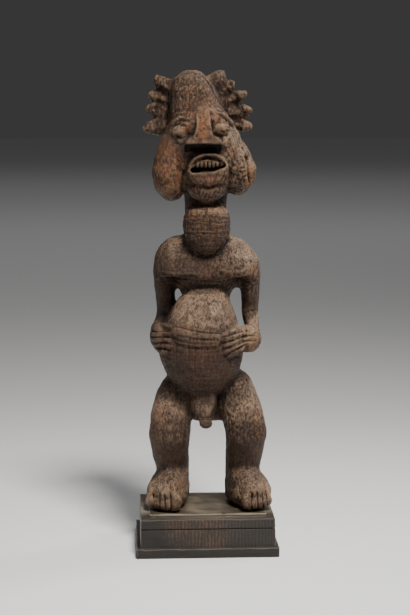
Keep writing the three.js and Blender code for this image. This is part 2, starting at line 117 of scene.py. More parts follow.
def cut_level(bm, axis, level):
    """Cuts every face that crosses one level of an axis (0, 1 or 2)."""
    point, normal = [0, 0, 0], [0, 0, 0]
    point[axis] = level
    normal[axis] = 1
    geometry = bm.verts[:] + bm.edges[:] + bm.faces[:]
    bmesh.ops.bisect_plane(bm, geom=geometry, dist=1e-7, plane_co=point, plane_no=normal)


def cut_across(bm, axis, start, stop, step):
    """Cuts the whole mesh at even steps along one axis, so that its long faces can take wear."""
    count = max(1, round((stop - start) / step))
    for i in range(1, count):
        cut_level(bm, axis, start + (stop - start) * i / count)


def inset_rows(bm, low, high, inset=EDGE_ROW, axes=(0, 1, 2)):
    """Cuts a row just inside each outer edge (outside it where inset is below 0), to keep wear narrow."""
    for axis in axes:
        for level in (low[axis] + inset, high[axis] - inset):
            cut_level(bm, axis, level)


def piece_from(bm, name, smooth=True):
    """Makes a bmesh an object of the scene at the origin."""
    bmesh.ops.remove_doubles(bm, verts=bm.verts, dist=1e-7)
    bmesh.ops.recalc_face_normals(bm, faces=bm.faces)
    mesh = bpy.data.meshes.new(name)
    bm.to_mesh(mesh)
    bm.free()
    for polygon in mesh.polygons:
        polygon.use_smooth = smooth
    made = bpy.data.objects.new(name, mesh)
    bpy.context.scene.collection.objects.link(made)
    return made


def grooved_block():
    """The upper block, with its sides leaning in and the saw groove all round."""
    x, y = BLOCK_HALF
    groove_bottom = GROOVE_TOP - GROOVE_HEIGHT
    bm = box_mesh((-x, -y, SLAB_TOP - BLOCK_SUNK), (x, y, BLOCK_TOP))
    for vert in bm.verts:
        if vert.co.z > SLAB_TOP:
            vert.co.x -= math.copysign(BATTER, vert.co.x)
            vert.co.y -= math.copysign(BATTER, vert.co.y)
    cut_level(bm, 2, groove_bottom)
    cut_level(bm, 2, GROOVE_TOP)
    middle = GROOVE_TOP - GROOVE_HEIGHT / 2
    ring = [f for f in bm.faces if abs(f.calc_center_median().z - middle) < GROOVE_HEIGHT / 3]
    pushed = bmesh.ops.extrude_face_region(bm, geom=ring)
    bmesh.ops.delete(bm, geom=ring, context="FACES_ONLY")
    for vert in [g for g in pushed["geom"] if isinstance(g, bmesh.types.BMVert)]:
        vert.co.x -= math.copysign(GROOVE_DEPTH, vert.co.x)
        vert.co.y -= math.copysign(GROOVE_DEPTH, vert.co.y)
    soften(bm, sharp_edges(bm), BLOCK_EDGE)
    cut_across(bm, 0, -x, x, GRID)
    cut_across(bm, 1, -y, y, GRID)
    inset_rows(bm, (-x, -y, SLAB_TOP), (x, y, BLOCK_TOP), BLOCK_ROW)
    inset_rows(bm, (0, 0, groove_bottom), (0, 0, GROOVE_TOP), -GROOVE_ROW, axes=(2,))
    return bm


def foot_slab():
    """The slab under the block."""
    x, y, _ = PLINTH_HIGH
    bm = box_mesh((-x, -y, 0), (x, y, SLAB_TOP))
    soften(bm, bm.edges[:], SLAB_EDGE)
    cut_across(bm, 0, -x, x, GRID)
    cut_across(bm, 1, -y, y, GRID)
    inset_rows(bm, (-x, -y, 0), (x, y, SLAB_TOP))
    return bm


def wear_top_edges(bm, top, half):
    """Lowers the top edge in soft waves, most of all along the front, and dents its corners."""
    for vert in bm.verts:
        x, y, z = vert.co
        edge = min(half[0] - abs(x), half[1] - abs(y))
        if z < top - WORN_HEIGHT or edge > WORN_WIDTH:
            continue
        front = 1.0 if y < 0 and half[1] - abs(y) < WORN_WIDTH else SIDE_WEAR
        close = 1 - min(1, max(0, edge) / WORN_WIDTH)
        wave = noise.noise(Vector((x * 42, y * 42, 0.3)))
        chips = noise.noise(Vector((x * 120, y * 120, 4)))
        vert.co.z -= close * front * max(0, wave + 0.5 * chips + 0.15) * WORN_DEPTH


block_bm = grooved_block()
wear_top_edges(block_bm, BLOCK_TOP, BLOCK_HALF)
block_mesh = bpy.data.meshes.new("block")
block_bm.to_mesh(block_mesh)
block_bm.free()
plinth_bm = foot_slab()
wear_top_edges(plinth_bm, SLAB_TOP, PLINTH_HIGH)
plinth_bm.from_mesh(block_mesh)
bpy.data.meshes.remove(block_mesh)
plinth = piece_from(plinth_bm, "stained_plinth", smooth=False)


def new_material(name, **settings):
    """A Principled material with the given plain settings, its node tree and its shader."""
    made = bpy.data.materials.new(name)
    made.use_nodes = True
    tree = made.node_tree
    shader = tree.nodes["Principled BSDF"]
    for socket, value in settings.items():
        shader.inputs[socket.replace("_", " ")].default_value = value
    return made, tree, shader


def node(tree, kind, links=(), **settings):
    """Adds a node. links maps its inputs to sockets or to plain values."""
    made = tree.nodes.new(kind)
    for key, value in settings.items():
        setattr(made, key, value)
    for key, value in dict(links).items():
        socket = made.inputs[key]
        if isinstance(value, bpy.types.NodeSocket):
            tree.links.new(value, socket)
        else:
            socket.default_value = value
    return made


def mixed(tree, factor, a, b):
    """A colour mix of a and b, each a socket or a colour."""
    made = tree.nodes.new("ShaderNodeMix")
    made.data_type = "RGBA"
    for socket, value in ((made.inputs[0], factor), (made.inputs[6], a), (made.inputs[7], b)):
        if isinstance(value, bpy.types.NodeSocket):
            tree.links.new(value, socket)
        elif isinstance(value, (int, float)):
            socket.default_value = value
        else:
            socket.default_value = (*value, 1)
    return made.outputs[2]


def ramp(tree, value, low, high):
    """A soft step from 0 to 1 between two values."""
    links = {"Value": value, "From Min": low, "From Max": high}
    return node(tree, "ShaderNodeMapRange", links, interpolation_type="SMOOTHSTEP").outputs["Result"]


def times(tree, a, b):
    return node(tree, "ShaderNodeMath", {0: a, 1: b}, operation="MULTIPLY").outputs[0]


def plus(tree, a, b):
    return node(tree, "ShaderNodeMath", {0: a, 1: b}, operation="ADD").outputs[0]


def larger(tree, a, b):
    return node(tree, "ShaderNodeMath", {0: a, 1: b}, operation="MAXIMUM").outputs[0]


def sloped(tree, value, slope, start):
    """start plus slope times the value."""
    return plus(tree, times(tree, value, slope), start)


def stretched(tree, vector, x, y, z):
    """A place scaled along each axis."""
    scale = node(tree, "ShaderNodeCombineXYZ", {"X": x, "Y": y, "Z": z}).outputs[0]
    return node(tree, "ShaderNodeVectorMath", {0: vector, 1: scale}, operation="MULTIPLY").outputs[0]


def clouds(tree, vector, scale, detail, roughness, distortion=0.0):
    """Cloudy noise as one value."""
    links = {
        "Vector": vector,
        "Scale": scale,
        "Detail": detail,
        "Roughness": roughness,
        "Distortion": distortion,
    }
    return node(tree, "ShaderNodeTexNoise", links).outputs[0]


def marked(tree, name):
    """A value that the mesh holds at every point."""
    return node(tree, "ShaderNodeAttribute", attribute_name=name).outputs["Fac"]


def finish(tree, shader, colour, rough, height, strength, distance):
    """Feeds a finish into the shader: its colour, its roughness and its relief."""
    bump = node(tree, "ShaderNodeBump", {"Height": height, "Strength": strength, "Distance": distance})
    tree.links.new(colour, shader.inputs["Base Color"])
    tree.links.new(rough, shader.inputs["Roughness"])
    tree.links.new(bump.outputs[0], shader.inputs["Normal"])


def new_group(name, inputs, outputs):
    """A shared shader group with named inputs, each with its kind and default, and named values out."""
    group = bpy.data.node_groups.new(name, "ShaderNodeTree")
    for socket, kind, default in inputs:
        made = group.interface.new_socket(name=socket, in_out="INPUT", socket_type=kind)
        made.default_value = default
    for socket in outputs:
        group.interface.new_socket(name=socket, in_out="OUTPUT", socket_type="NodeSocketFloat")
    inside = group.nodes.new("NodeGroupInput")
    outside = group.nodes.new("NodeGroupOutput")
    return group, inside, outside


def wood_grain_group():
    """Grain along the group's own X: long fine fibres and slow bands of colour."""
    group, inside, outside = new_group(
        "wood_grain",
        [
            ("Vector", "NodeSocketVector", (0, 0, 0)),
            ("Length", "NodeSocketFloat", 9.0),
            ("Fineness", "NodeSocketFloat", 420.0),
        ],
        ["Fibres", "Bands"],
    )
    vector, length, fineness = (inside.outputs[name] for name in ("Vector", "Length", "Fineness"))
    wide = stretched(group, vector, length, 60, 60)
    fine = stretched(group, vector, times(group, length, 2.2), fineness, fineness)
    group.links.new(clouds(group, fine, scale=1, detail=3, roughness=0.65), outside.inputs["Fibres"])
    group.links.new(clouds(group, wide, scale=1, detail=4, roughness=0.6), outside.inputs["Bands"])
    return group


wood_grain = wood_grain_group()


def stained_wood():
    """Near-black stain over brown hardwood, rubbed through in ripples on the front and along the edges,
    with a painted highlight on the edges.
    """
    material, tree, shader = new_material("stained_wood", Specular_IOR_Level=0.35)
    place = node(tree, "ShaderNodeTexCoord").outputs["Object"]
    x, y, z = node(tree, "ShaderNodeSeparateXYZ", {0: place}).outputs
    links = {"Vector": place, "Length": 14, "Fineness": 900}
    grain = node(tree, "ShaderNodeGroup", links, node_tree=wood_grain)
    fibres = grain.outputs["Fibres"]
    patches = clouds(tree, place, scale=17, detail=3, roughness=0.55)
    ripple = node(
        tree,
        "ShaderNodeTexWave",
        {"Vector": place, "Scale": 52, "Distortion": 4.5, "Detail": 3, "Detail Scale": 1.6},
        wave_type="BANDS",
        bands_direction="X",
    ).outputs["Fac"]
    above_slab = ramp(tree, z, SLAB_TOP - 0.3 * MM, SLAB_TOP + 0.7 * MM)
    on_front = times(tree, ramp(tree, y, -0.05, -0.09), above_slab)

    # black stain, with ripples left by the plane on the right of the front
    stain = mixed(tree, grain.outputs["Bands"], STAIN_BLACK, STAIN_BROWN)
    stain = mixed(tree, ramp(tree, fibres, 0.35, 0.7), stain, STAIN_FIBRE)
    chatter = times(tree, times(tree, ripple, ramp(tree, x, -0.05, 0.01)), on_front)
    stain = mixed(tree, times(tree, chatter, 0.45), stain, STAIN_RIPPLE)

    # bare wood in the middle of the front
    middle = times(tree, ramp(tree, x, -0.095, -0.035), ramp(tree, x, 0.10, -0.02))
    bare = plus(tree, times(tree, patches, 0.75), times(tree, middle, 0.36))
    rubbed = times(tree, ramp(tree, bare, 0.46, 0.8), on_front)
    broken = ramp(tree, clouds(tree, place, scale=130, detail=3, roughness=0.6), 0.3, 0.6)
    rubbed = times(tree, rubbed, sloped(tree, times(tree, ripple, broken), 0.8, 0.08))
    colour = mixed(tree, rubbed, stain, mixed(tree, fibres, BARE_DARK, BARE_LIGHT))

    # rubbed edges with a painted highlight along them, and dust on what faces up
    colour = mixed(tree, times(tree, marked(tree, "edge_wear_and_highlight"), 0.5), colour, WORN_EDGE_AND_HIGHLIGHT)
    dust = times(tree, ramp(tree, marked(tree, "facing_up"), 0.5, 0.95), ramp(tree, patches, 0.2, 0.6))
    dust = times(tree, dust, plus(tree, ramp(tree, y, -0.072, -0.02), 0.1))
    colour = mixed(tree, times(tree, dust, 0.8), colour, DUST)
    rough = mixed(tree, fibres, (0.28,) * 3, (0.46,) * 3)
    height = plus(tree, fibres, times(tree, ripple, 0.25))
    finish(tree, shader, colour, rough, height, strength=0.25, distance=0.6 * MM)
    return material


def mark_edges(piece):
    """Stores where the mesh turns a corner, for rubbed edges with a painted highlight, and where it faces
    up, for dust.
    """
    mesh = piece.data
    bm = bmesh.new()
    bm.from_mesh(mesh)
    worn = []
    upward = []
    for vert in bm.verts:
        turn = max((e.calc_face_angle(0) for e in vert.link_edges if len(e.link_faces) == 2), default=0)
        in_groove = GROOVE_TOP - GROOVE_HEIGHT - 1 * MM < vert.co.z < GROOVE_TOP + 1 * MM
        worn.append(min(1.0, turn / 0.5) * (GROOVE_WEAR_AND_HIGHLIGHT if in_groove else 1.0))
        upward.append(max(face.normal.z for face in vert.link_faces))
    bm.free()
    for name, values in (("edge_wear_and_highlight", worn), ("facing_up", upward)):
        mesh.attributes.new(name, "FLOAT", "POINT").data.foreach_set("value", values)


mark_edges(plinth)
plinth.data.materials.append(stained_wood())
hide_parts("plinth")
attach(plinth, "root")

# Mounting plate. A sheet of mild steel about 2.5 mm thick, blackened with a chemical patina and
# waxed, its edges filed and worn bright, with a painted highlight along them. It lies flat on the plinth,
# and both feet stand on it.

PLATE_LOW, PLATE_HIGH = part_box("mounting_plate")
PLATE_CORNER = 2.0 * MM
PLATE_EDGE = 0.45 * MM
STEEL_DARK = (0.16, 0.13, 0.10)
STEEL_BROWN = (0.42, 0.325, 0.22)
STEEL_BRUSHED = (0.2, 0.17, 0.13)
# filed edges worn bright, partly a painted highlight where they catch the light
STEEL_BRIGHT_EDGE_AND_HIGHLIGHT = (0.8, 0.72, 0.55)

plate_bm = box_mesh(PLATE_LOW, PLATE_HIGH)
upright = [e for e in plate_bm.edges if abs(e.verts[0].co.z - e.verts[1].co.z) > 1 * MM]
soften(plate_bm, upright, PLATE_CORNER, segments=4)
soften(plate_bm, sharp_edges(plate_bm, 60), PLATE_EDGE)
inset_rows(plate_bm, PLATE_LOW, PLATE_HIGH, axes=(0, 1))
plate = piece_from(plate_bm, "steel_plate", smooth=False)


def patinated_steel():
    """Blackened steel with brown clouds, fine brushing, a dull wax sheen and bright edges that are partly
    a painted highlight.
    """
    material, tree, shader = new_material("patinated_steel", Specular_IOR_Level=0.5, Metallic=0.75)
    place = node(tree, "ShaderNodeTexCoord").outputs["Object"]
    patina = clouds(tree, place, scale=26, detail=5, roughness=0.6)
    brushed = clouds(tree, stretched(tree, place, 60, 1400, 1), scale=1, detail=2, roughness=0.5)
    colour = mixed(tree, ramp(tree, patina, 0.3, 0.75), STEEL_DARK, STEEL_BROWN)
    colour = mixed(tree, times(tree, brushed, 0.3), colour, STEEL_BRUSHED)
    # bright filed edges with a painted highlight on them
    colour = mixed(tree, times(tree, marked(tree, "edge_wear_and_highlight"), 0.9), colour, STEEL_BRIGHT_EDGE_AND_HIGHLIGHT)
    rough = mixed(tree, ramp(tree, patina, 0.3, 0.7), (0.26,) * 3, (0.46,) * 3)
    finish(tree, shader, colour, rough, brushed, strength=0.08, distance=0.4 * MM)
    return material


mark_edges(plate)
plate.data.materials.append(patinated_steel())
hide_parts("mounting_plate")
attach(plate, "root")

# Figure. Head, trunk, arms and legs are one log of hardwood, cut with an adze and a knife, then
# oiled, handled and crusted over many years. Worm holes, checks and rubbed ridges break the surface.
# It stands on the plate by its flat soles.

# Places and sizes without MM are millimetres, and a lean is in degrees
COARSE_VOXEL = 4.0 * MM
ROUGH_VOXEL = 2.1 * MM
FINE_VOXEL = 1.6 * MM
FIGURE_TRIANGLES = 190000
SOLE_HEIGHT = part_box("figure")[0].z / MM
TUFT_TIP = 4.0
TUFT_SIDES = 10
RIM_STEPS = 20
RIM_BOW = 2.5
TOOTH_COUNT = 8
TOOTH_ENDS = (-24.5, 23.5)
TOOTH_FRONT = -83
TOOTH_MIDDLE = 701.5
TOOTH_SIZE = (2.7, 3.0, 5.6)
TOOTH_SET_BACK = 6.0
TOOTH_RISE = 1.5
TOOTH_TILT = 0.8
TOOTH_LEAN = -8
HOLE_COUNT = 170
HOLE_RADIUS = (1.3, 2.3)
HOLE_DEPTH = (1.0, 2.4)
HEARTWOOD_DARK = (0.024, 0.0105, 0.0052)
HEARTWOOD_LIGHT = (0.052, 0.0255, 0.0135)
HEARTWOOD_PALE = (0.088, 0.047, 0.026)
RUBBED_ORANGE = (0.20, 0.072, 0.022)
# pale crust, and in the pale places a painted highlight
CRUST_AND_HIGHLIGHT = (0.52, 0.365, 0.245)
# black-brown of the painted shade under overhangs, in creases and on the side away from the light
SHADE_BLACK = (0.009, 0.0038, 0.0018)
SHADE_BROWN = (0.046, 0.0175, 0.0068)
PIT_BLACK = (0.010, 0.005, 0.003)
WEAVE_BLACK = (0.008, 0.004, 0.0025)
# dirt and painted shade in cuts and hollows
CUT_DIRT_AND_HOLLOW_SHADE = (0.008, 0.0042, 0.0028)
# worn tops, partly painted glints
WORN_TOP_AND_GLINT = (0.25, 0.165, 0.10)


def egg(bm, at, size, lean=0, detail=3):
    """An egg-shaped lump with the given half-sizes in millimetres. lean turns it in the front view."""
    place = Matrix.Translation(Vector(at) * MM) @ Matrix.Rotation(math.radians(lean), 4, "Y")
    matrix = place @ Matrix.Diagonal((*size, 1))
    bmesh.ops.create_icosphere(bm, subdivisions=detail, radius=MM, matrix=matrix)


def ridge(bm, path, radii, step=2.0):
    """A rounded ridge along a path of points in millimetres, as a chain of lumps."""
    if isinstance(radii, (int, float)):
        radii = [radii] * len(path)
    for (a, b), (r, s) in zip(zip(path, path[1:]), zip(radii, radii[1:])):
        a, b = Vector(a), Vector(b)
        count = max(1, round((b - a).length / step))
        for i in range(count + 1):
            radius = r + (s - r) * i / count
            egg(bm, a.lerp(b, i / count), (radius,) * 3, detail=2)


def spike(bm, root, tip, radius):
    """A blunt cone from a root to a tip."""
    root, tip = Vector(root), Vector(tip)
    along = tip - root
    middle = Matrix.Translation(root.lerp(tip, 0.5) * MM)
    turned = along.to_track_quat("Z", "Y").to_matrix().to_4x4()
    bmesh.ops.create_cone(
        bm,
        cap_ends=True,
        segments=TUFT_SIDES,
        radius1=radius * MM,
        radius2=TUFT_TIP * MM,
        depth=along.length * MM,
        matrix=middle @ turned,
    )


def eye_rim(bm, at, size, thickness):
    """A raised ring of wood round an eye, bowed back at its corners."""
    path = []
    for i in range(RIM_STEPS + 1):
        turn = 2 * math.pi * i / RIM_STEPS
        across, up = math.cos(turn), math.sin(turn)
        path.append((at[0] + size[0] * across, at[1] + RIM_BOW * abs(across), at[2] + size[1] * up))
    ridge(bm, path, thickness)


UPPER_LIP = [
    (-35, -77, 690),
    (-31, -81, 702),
    (-22, -84, 713),
    (-6, -86, 719.5),
    (12, -86, 719.5),
    (25, -84, 712),
    (33, -81, 700),
    (36, -77, 694),
]
LOWER_LIP = [(-32, -77, 682), (-17, -83, 676.5), (2, -86, 675), (18, -84, 677), (32, -77, 686)]
NOSE_EDGE = [(-39, -88, 739), (-24, -93, 740), (-8, -94.5, 741), (8, -93, 740), (23, -88, 739)]
GUM = [(-26, -76, 700), (-13, -80, 706), (1, -82, 708), (14, -80, 706), (26, -75, 702)]
# The rim of the right eye: its middle, half-sizes and thickness
EYE_RIM = ((25, -61, 763), (18, 13), 2.4)
# Lumps that fill the hard creases of the roughed-out solid: middle and half-sizes
LUMPS = [
    ((-37, -48, 722), (23, 26, 42)),
    ((35, -42, 722), (22, 27, 46)),
    ((-30, -53, 770), (15, 17, 20)),
    ((-25, -58, 768), (8, 14, 20)),
    ((10, -52, 779), (12, 15, 18)),
    ((24, -56, 764), (15, 12, 11)),
    ((-46, -55, 757), (12, 11, 9)),
    ((2, -72, 677), (28, 18, 14)),
    ((0, -50, 660), (34, 32, 24)),
    ((-58, -34, 738), (14, 22, 38)),
    ((44, -34, 734), (16, 22, 34)),
    ((-0.5, -35, 561), (33, 35, 22)),
    ((0, -22, 498), (50, 36, 14)),
    ((-84, -30, 392), (18, 34, 26)),
    ((74, -46, 390), (24, 22, 26)),
    ((-66, -19, 210), (37, 36, 40)),
    ((72, -19, 210), (37, 36, 40)),
    ((-2, -63, 238.5), (11.8, 11, 10)),
    ((0, -34, 618), (36, 32, 14)),
    ((27, -78, 394), (15, 10, 13)),
]
# Rounded bodies drawn as paths of points, each with its radius at every point
BODIES = [
    ([(-7, -38, 286), (-8, -45, 269), (-5, -53, 254), (-3, -58, 244)], [28, 23, 15.5, 11.5]),
    ([(8, -54, 286), (6, -61, 270), (2, -64, 256)], [9, 7.5, 5.5]),
    ([(-61, -7, 131), (-68, -24, 116), (-73, -38, 105)], [29, 26, 21]),
    ([(70, -7, 131), (79, -24, 116), (85, -38, 106)], [30, 26, 21]),
]
TOE_ROWS = [
    ([(-104, -28, 86), (-92, -40, 87), (-76, -50, 87), (-58, -55, 87)], [9, 10, 11, 12]),
    ([(112, -36, 88), (104, -46, 87), (90, -52, 87), (74, -56, 88)], [9, 10, 11, 12]),
]
# Points of the tufts of hair: root, tip and radius at the root
TUFT_POINTS = [
    ((-78, 8, 844), (-89, 6, 856), 13),
    ((-86, 6, 819), (-102, 4, 826), 12),
    ((-90, 4, 799), (-107, 2, 800), 13),
    ((-94, 6, 766), (-113, 4, 763), 13),
    ((24, 8, 856), (34, 6, 864), 13),
    ((42, 8, 840), (52, 4, 847), 12),
    ((60, 6, 821), (74, 4, 827), 11),
    ((66, 6, 796), (84, 4, 797), 13),
    ((66, 6, 768), (84, 4, 767), 12),
]


def rough_figure():
    """The roughed-out figure: the solid's own form with lips, rims, points and fillings laid on."""
    bm = bmesh.new()
    bm.from_mesh(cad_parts["figure"].data)
    bmesh.ops.remove_doubles(bm, verts=bm.verts, dist=0.01 * MM)
    ridge(bm, UPPER_LIP, [2.0, 2.4, 2.8, 2.8, 2.8, 2.6, 2.4, 2.0])
    ridge(bm, LOWER_LIP, [3.0, 5.0, 5.6, 5.0, 3.2])
    ridge(bm, GUM, [2.2, 2.8, 3.0, 2.8, 2.2])
    ridge(bm, NOSE_EDGE, [2.2, 2.6, 2.8, 2.6, 2.2])
    for at, size in LUMPS:
        egg(bm, at, size)
    for path, radii in TOE_ROWS + BODIES:
        ridge(bm, path, radii, step=4)
    for root, tip, radius in TUFT_POINTS:
        spike(bm, root, tip, radius)
    eye_rim(bm, *EYE_RIM)
    mesh = bpy.data.meshes.new("rough_figure")
    bm.to_mesh(mesh)
    bm.free()
    return mesh


def through_modifier(mesh, kind, **settings):
    """The mesh as a modifier leaves it."""
    carrier = bpy.data.objects.new("carrier", mesh)
    bpy.context.scene.collection.objects.link(carrier)
    modifier = carrier.modifiers.new("work", kind)
    for key, value in settings.items():
        setattr(modifier, key, value)
    graph = bpy.context.evaluated_depsgraph_get()
    made = bpy.data.meshes.new_from_object(carrier.evaluated_get(graph))
    bpy.data.objects.remove(carrier)
    return made


def points_of(mesh):
    """The points of a mesh in millimetres, one row each."""
    points = np.empty(len(mesh.vertices) * 3)
    mesh.vertices.foreach_get("co", points)
    return points.reshape(-1, 3) / MM


def put_points(mesh, points):
    """Moves the points of a mesh to places in millimetres."""
    mesh.vertices.foreach_set("co", (points * MM).ravel())
    mesh.update()


def normals_of(mesh):
    """The way that the surface faces at every point."""
    normals = np.empty(len(mesh.vertices) * 3)
    mesh.vertex_normals.foreach_get("vector", normals)
    return normals.reshape(-1, 3)


class Neighbours:
    """Averages any value over each point's neighbours."""

    def __init__(self, mesh):
        pairs = np.empty(len(mesh.edges) * 2, np.int64)
        mesh.edges.foreach_get("vertices", pairs)
        pairs = pairs.reshape(-1, 2)
        self.a = np.concatenate([pairs[:, 0], pairs[:, 1]])
        self.b = np.concatenate([pairs[:, 1], pairs[:, 0]])
        self.count = len(mesh.vertices)
        self.degree = np.maximum(1, np.bincount(self.a, minlength=self.count))

    def mean(self, values):
        """The plain average of the neighbours' values at every point."""
        if values.ndim == 1:
            return np.bincount(self.a, values[self.b], self.count) / self.degree
        return np.stack([self.mean(values[:, k]) for k in range(values.shape[1])], 1)

    def blurred(self, values, rounds):
        """The values spread softly over the mesh."""
        for _ in range(rounds):
            values = 0.5 * values + 0.5 * self.mean(values)
        return values

    def faired(self, points, rounds, weight=1.0):
        """Smooths without shrinking: a step in and a slightly longer step out, over and over."""
        for _ in range(rounds):
            points = points + 0.63 * weight * (self.mean(points) - points)
            points = points - 0.67 * weight * (self.mean(points) - points)
        return points


def near(points, at, size, soft=0.35):
    """1 inside an egg about a point, falling softly to 0 outside it."""
    reach = np.linalg.norm((points - np.array(at, float)) / np.array(size, float), axis=1)
    share = np.clip((1 + soft - reach) / soft, 0, 1)
    return share**2 * (3 - 2 * share)


# Where the knife work is fine: middle and half-size of each egg
FINE_WORK = [
    ((-8, -84, 716), (54, 40, 66)),
    ((-46, -64, 758), (24, 26, 24)),
    ((24, -64, 764), (28, 26, 26)),
    ((-86, -44, 392), (30, 60, 34)),
    ((46, -76, 388), (32, 36, 36)),
    ((-79, -58, 86), (40, 26, 18)),
    ((91, -58, 86), (40, 26, 18)),
    ((-100, 10, 806), (42, 40, 66)),
    ((62, 10, 816), (50, 40, 70)),
    ((-12, 62, 812), (90, 34, 60)),
    ((-1, -60, 236), (16, 20, 18)),
]
# Places within the fine work that are worn soft: middle and half-size of each egg
SOFT_PLACES = [
    ((-31, -60, 772), (15, 18, 20)),
    ((10, -60, 780), (11, 18, 16)),
    ((-42, -56, 790), (26, 18, 12)),
    ((24, -56, 792), (22, 18, 12)),
]
# The flat hollow under the nose: its low and high corner on the front, and how far back it lies
UNDER_NOSE = ((-41, 723), (23, 737), -73)


def smooth_copy(mesh):
    """A coarse, well-faired copy of the whole figure, for its broad swellings to follow."""
    coarse = through_modifier(mesh, "REMESH", mode="VOXEL", voxel_size=COARSE_VOXEL)
    put_points(coarse, Neighbours(coarse).faired(points_of(coarse), rounds=60))
    coarse = through_modifier(coarse, "SUBSURF", levels=1, render_levels=1)
    return BVHTree.FromPolygons(points_of(coarse).tolist(), [tuple(p.vertices) for p in coarse.polygons])


def fair_figure(mesh):
    """Takes the flats off the broad swellings and leaves the fine work nearly as cut."""
    links = Neighbours(mesh)
    points = points_of(mesh)
    fine = np.zeros(len(points))
    for at, size in FINE_WORK:
        fine = np.maximum(fine, near(points, at, size))
    broad = links.blurred(1 - fine, rounds=6)[:, None]
    smooth = smooth_copy(mesh)
    target = np.array([smooth.find_nearest(Vector(p))[0] for p in points.tolist()])
    points = points + broad * (target - points)
    points = links.faired(points, rounds=20, weight=broad)
    worn = np.zeros(len(points))
    for at, size in SOFT_PLACES:
        worn = np.maximum(worn, near(points, at, size))
    points = links.faired(points, rounds=25, weight=worn[:, None])
    put_points(mesh, links.faired(points, rounds=3))


def undercut_nose(mesh):
    """Pushes the wood under the nose back to one flat level."""
    points = points_of(mesh)
    (left, bottom), (right, top), depth = UNDER_NOSE
    x, y, z = points.T
    inside = (x > left) & (x < right) & (z > bottom) & (z < top) & (y < depth)
    points[inside, 1] = depth
    put_points(mesh, points)


class Skin:
    """Finds the surface in front of a place and measures how far every point lies from a drawn line."""

    def __init__(self, mesh):
        self.points = points_of(mesh)
        self.normals = normals_of(mesh)
        self.tree = BVHTree.FromPolygons(self.points.tolist(), [tuple(p.vertices) for p in mesh.polygons])
        self.move = np.zeros((len(self.points), 3))

    def on_front(self, x, z):
        """The first place on the surface behind (x, z), seen from the front."""
        hit = self.tree.ray_cast(Vector((x, -400, z)), Vector((0, 1, 0)))[0]
        return np.array(hit) if hit else np.array((x, -60.0, z))

    def line(self, places, step=3.0):
        """Points on the surface, close together, from a line drawn as (x, z) in front."""
        places = [np.array(place, float) for place in places]
        drawn = [places[0]]
        for a, b in zip(places, places[1:]):
            count = max(1, math.ceil(np.linalg.norm(b - a) / step))
            drawn += [a + (b - a) * i / count for i in range(1, count + 1)]
        return [self.on_front(*place) for place in drawn]

    def stroke(self, places, width, depth, back=0.0):
        """A cut (depth above 0) or a ridge (below 0) along a line. back leans it towards +Y."""
        line = self.line(places)
        reach = 3 * width
        low = np.min(line, axis=0) - reach
        high = np.max(line, axis=0) + reach
        close = np.where(((self.points > low) & (self.points < high)).all(1))[0]
        points = self.points[close]
        best = np.full(len(points), 1e9)
        where = np.zeros(len(points))
        for i, (a, b) in enumerate(zip(line, line[1:])):
            along = b - a
            share = np.clip((points - a) @ along / max(1e-9, along @ along), 0, 1)
            gap = np.linalg.norm(points - (a + share[:, None] * along), axis=1)
            closer = gap < best
            best[closer] = gap[closer]
            where[closer] = ((i + share) / (len(line) - 1))[closer]
        profile = depth * np.exp(-((best / width) ** 2))
        profile *= np.clip(np.sin(np.pi * np.clip(where, 0.02, 0.98)) * 2.4, 0, 1)
        way = (1 - back) * -self.normals[close] + back * np.array((0, 1, 0))
        self.move[close] += profile[:, None] * way

    def dent(self, place, radius, depth):
        """A round hollow at a place, or a bump where depth is below 0."""
        at = self.on_front(*place) if len(place) == 2 else np.array(place, float)
        gap = np.linalg.norm(self.points - at, axis=1)
        self.move -= self.normals * (depth * np.exp(-((gap / radius) ** 2)))[:, None]

    def done(self, mesh):
        """Puts all the cuts into the mesh at once."""
        put_points(mesh, self.points + self.move)


# Deep cuts: line on the front as (x, z), half-width, depth and how far the cut leans straight back
DEEP_CUTS = [
    ([(-33, 730), (-22, 730), (-8, 730), (6, 730), (17, 730)], 4.0, 6.0, 1.0),
    ([(-38, 698), (-43, 684), (-45, 664), (-42, 650)], 3.6, 4.0, 0.5),
    ([(37, 700), (40, 686), (39, 668), (37, 652)], 4.0, 5.0, 0.5),
    ([(14, 793), (27, 785), (40, 770), (49, 752)], 2.8, 3.2, 0.3),
    ([(-57, 777), (-44, 778), (-30, 777)], 2.8, 2.6, 0.3),
    ([(3, 790), (9, 789), (14, 786)], 4.0, 2.6, 0.3),
    ([(9, 778), (9, 768), (8, 756)], 3.6, 2.4, 0.3),
    ([(69, 719), (72, 702), (74, 684), (77, 666)], 3.2, 12.0, 0.2),
    ([(-3, 852), (8, 838), (16, 822), (28, 805), (44, 786)], 3.6, 4.5, 0.5),
    ([(-56, 848), (-62, 830), (-64, 813), (-67, 795), (-71, 775)], 3.0, 3.0, 0.4),
    ([(-34, 684), (-18, 669), (2, 660), (19, 669), (34, 688)], 2.6, 2.6, 0.2),
    ([(-30, 701), (-15, 713), (1, 716), (17, 713), (30, 702)], 2.2, 4.0, 0.8),
    ([(-78, 500), (-47, 497), (-18, 494), (0, 495), (22, 493), (42, 495), (64, 499)], 3.0, 2.2, 0.3),
    ([(-24, 552), (-12, 542), (0, 538), (12, 542), (24, 553)], 3.0, 3.0, 0.3),
    ([(-15, 251), (-2, 247.5), (11, 251)], 2.2, 2.0, 0.2),
]
# Deep hollows: place, radius and depth
DEEP_DENTS = [
    ((-84, 0, 829), 9, 7),
    ((-80, -6, 797), 10, 8),
    ((-97, -2, 800), 6, 4),
    ((-84, -4, 772), 9, 5),
    ((46, 0, 845), 5, 6),
    ((40, -4, 822), 7, 5),
    ((58, 0, 806), 8, 6),
    ((66, -2, 791), 7, 5),
    ((62, 0, 775), 6, 5),
    ((-76, 427), 7, 4),
]


